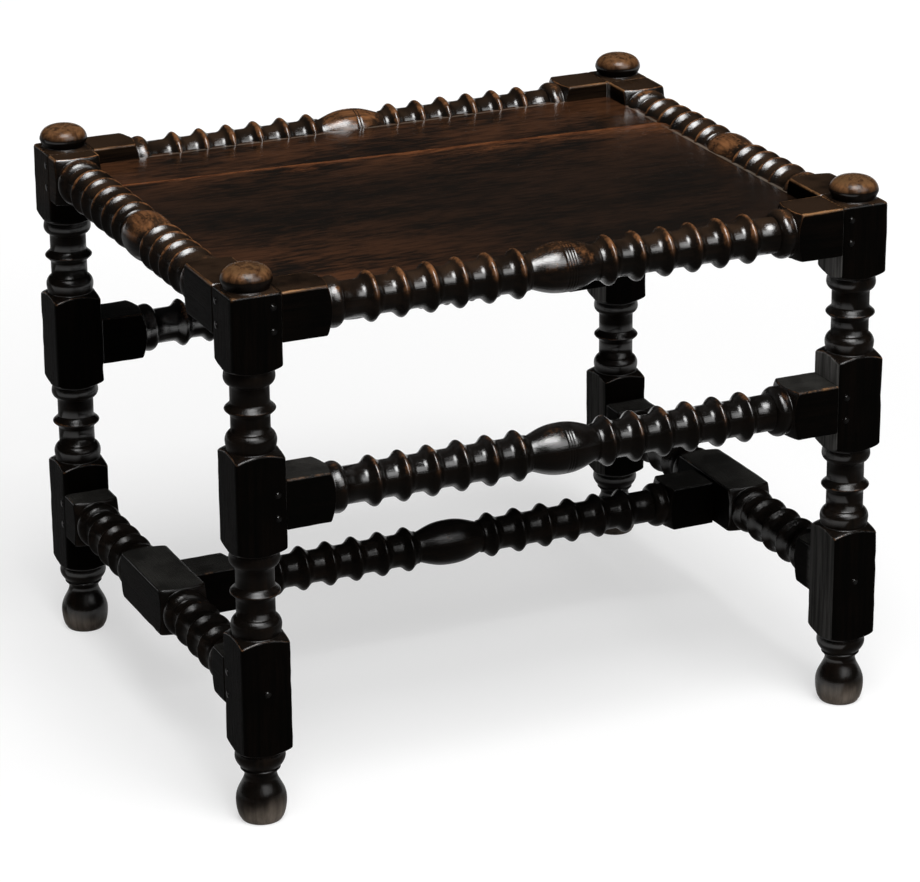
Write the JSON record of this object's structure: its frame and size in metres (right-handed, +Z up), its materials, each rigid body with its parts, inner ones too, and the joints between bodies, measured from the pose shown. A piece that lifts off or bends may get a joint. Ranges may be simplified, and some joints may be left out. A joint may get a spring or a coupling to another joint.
{
  "type": "joint stool",
  "caption": "Low rectangular joint stool with ring-turned legs, rails and stretchers, for sitting on.",
  "frame": {"origin": "on the floor, under the middle of the seat", "axes": "+X along the long side of the seat, +Y from the front to the back, +Z up"},
  "size_m": [0.5298, 0.4338, 0.43],
  "materials": {
    "turned_wood": "polished",
    "seat_wood": "polished",
    "peg_wood": "satin"
  },
  "bodies": {
    "root": {"leg_front_left": "turned_wood", "leg_front_right": "turned_wood", "leg_back_left": "turned_wood", "leg_back_right": "turned_wood", "seat_rail_front": "turned_wood", "seat_rail_back": "turned_wood", "seat_rail_left": "turned_wood", "seat_rail_right": "turned_wood", "middle_stretcher_front": "turned_wood", "middle_stretcher_back": "turned_wood", "low_stretcher_left": "turned_wood", "low_stretcher_right": "turned_wood", "centre_stretcher": "turned_wood", "seat_board_front": "seat_wood", "seat_board_back": "seat_wood", "pegs_long_rails": "peg_wood", "pegs_short_rails": "peg_wood", "pegs_middle_stretchers": "peg_wood", "pegs_low_stretchers": "peg_wood", "pegs_centre_stretcher": "peg_wood", "pins_front_legs": "peg_wood"}
  },
  "joints": []
}
